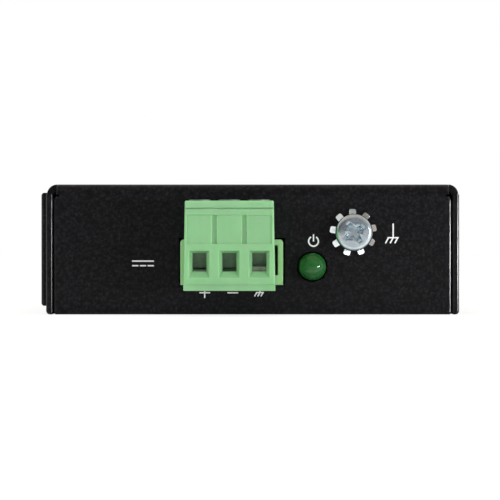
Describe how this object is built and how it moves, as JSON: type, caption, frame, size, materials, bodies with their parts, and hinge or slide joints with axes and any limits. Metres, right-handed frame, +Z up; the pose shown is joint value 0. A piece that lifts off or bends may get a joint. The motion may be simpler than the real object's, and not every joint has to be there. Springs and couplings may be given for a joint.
{
  "type": "ethernet switch",
  "caption": "Compact ethernet switch in a folded black metal case, with a pluggable green power terminal, indicator lamp, ground screw and a side row of network ports.",
  "frame": {"origin": "middle of the case's underside", "axes": "+Z up from the underside, -Y out of the power end, +X out of the network ports"},
  "size_m": [0.0732, 0.1116, 0.0227],
  "materials": {
    "case_paint": "black powder coat, fine grain",
    "black_steel": "black oxide",
    "zinc_steel": "bright zinc plate",
    "nickel_steel": "nickel plate",
    "tinned_metal": "tinned",
    "terminal_green": "moulded, satin",
    "port_shield": "nickel plated sheet",
    "port_black": "moulded, satin",
    "contact_gold": "gold plated",
    "light_clear": "clear moulded window",
    "led_green": "tinted clear epoxy",
    "board_green": "solder mask on glass fibre",
    "film_clear": "polyester film",
    "chip_black": "moulded package",
    "can_metal": "drawn can",
    "ferrite": "sintered ferrite",
    "ceramic_tan": "multilayer ceramic"
  },
  "bodies": {
    "plug": {"plug_body": "terminal_green", "plug_contacts": "tinned_metal"},
    "clamp_screw_1": {"clamp_screw_1": "zinc_steel"},
    "clamp_cage_1": {"clamp_cage_1": "nickel_steel"},
    "clamp_screw_2": {"clamp_screw_2": "zinc_steel"},
    "clamp_cage_2": {"clamp_cage_2": "nickel_steel"},
    "clamp_screw_3": {"clamp_screw_3": "zinc_steel"},
    "clamp_cage_3": {"clamp_cage_3": "nickel_steel"},
    "ground_washer": {"ground_washer": "zinc_steel"},
    "ground_screw": {"ground_screw": "zinc_steel"},
    "chassis": {"cover": "case_paint", "base_plate": "case_paint", "mounting_plate": "case_paint", "base_screws": "black_steel", "plate_screws": "black_steel", "ground_nut": "zinc_steel", "cover_posts": "zinc_steel", "board_spacers": "zinc_steel", "plate_nuts": "zinc_steel", "header_pins": "tinned_metal", "led_leads": "tinned_metal", "power_header": "terminal_green", "port_1_shield": "port_shield", "port_2_shield": "port_shield", "port_3_shield": "port_shield", "port_4_shield": "port_shield", "port_5_shield": "port_shield", "port_1_housing": "port_black", "port_2_housing": "port_black", "port_3_housing": "port_black", "port_4_housing": "port_black", "port_5_housing": "port_black", "led_holder": "port_black", "port_1_contacts": "contact_gold", "port_2_contacts": "contact_gold", "port_3_contacts": "contact_gold", "port_4_contacts": "contact_gold", "port_5_contacts": "contact_gold", "port_1_lights": "light_clear", "port_2_lights": "light_clear", "port_3_lights": "light_clear", "port_4_lights": "light_clear", "port_5_lights": "light_clear", "power_led": "led_green", "circuit_board": "board_green", "insulating_sheet": "film_clear", "switch_chip": "chip_black", "memory_chip": "chip_black", "regulator_chip": "chip_black", "surge_diode": "chip_black", "fuse": "chip_black", "bulk_capacitors": "can_metal", "crystal": "can_metal", "power_inductor": "ferrite", "chip_capacitors": "ceramic_tan"}
  },
  "joints": [
    {"name": "plug_pull", "type": "slide", "parent": "chassis", "child": "plug", "axis": [0, -1, 0], "range_m": [0, 0.012]},
    {"name": "clamp_turn_1", "type": "hinge", "parent": "plug", "child": "clamp_screw_1", "pos_m": [-0.00904, -0.057, 0.0193], "axis": [0, 0, -1], "range_deg": [-217, 1513]},
    {"name": "cage_lift_1", "type": "slide", "parent": "plug", "child": "clamp_cage_1", "axis": [0, 0, 1], "range_m": [-0.0003, 0.0021]},
    {"name": "clamp_turn_2", "type": "hinge", "parent": "plug", "child": "clamp_screw_2", "pos_m": [-0.00396, -0.057, 0.0193], "axis": [0, 0, -1], "range_deg": [0, 1729]},
    {"name": "cage_lift_2", "type": "slide", "parent": "plug", "child": "clamp_cage_2", "axis": [0, 0, 1], "range_m": [0, 0.0024]},
    {"name": "clamp_turn_3", "type": "hinge", "parent": "plug", "child": "clamp_screw_3", "pos_m": [0.00112, -0.057, 0.0193], "axis": [0, 0, -1], "range_deg": [-613, 1117]},
    {"name": "cage_lift_3", "type": "slide", "parent": "plug", "child": "clamp_cage_3", "axis": [0, 0, 1], "range_m": [-0.00085, 0.00155]},
    {"name": "ground_turn", "type": "hinge", "parent": "ground_washer", "child": "ground_screw", "pos_m": [0.01755, -0.05, 0.01425], "axis": [0, -1, 0], "range_deg": [0, 1441]},
    {"name": "ground_back_off", "type": "slide", "parent": "chassis", "child": "ground_washer", "axis": [0, -1, 0], "range_m": [0, 0.0028]}
  ],
  "couplings": [
    {"joint": "clamp_turn_1", "follows": "cage_lift_1", "rad_per_m": 12566},
    {"joint": "clamp_turn_2", "follows": "cage_lift_2", "rad_per_m": 12566},
    {"joint": "clamp_turn_3", "follows": "cage_lift_3", "rad_per_m": 12566},
    {"joint": "ground_turn", "follows": "ground_back_off", "rad_per_m": 8976}
  ]
}
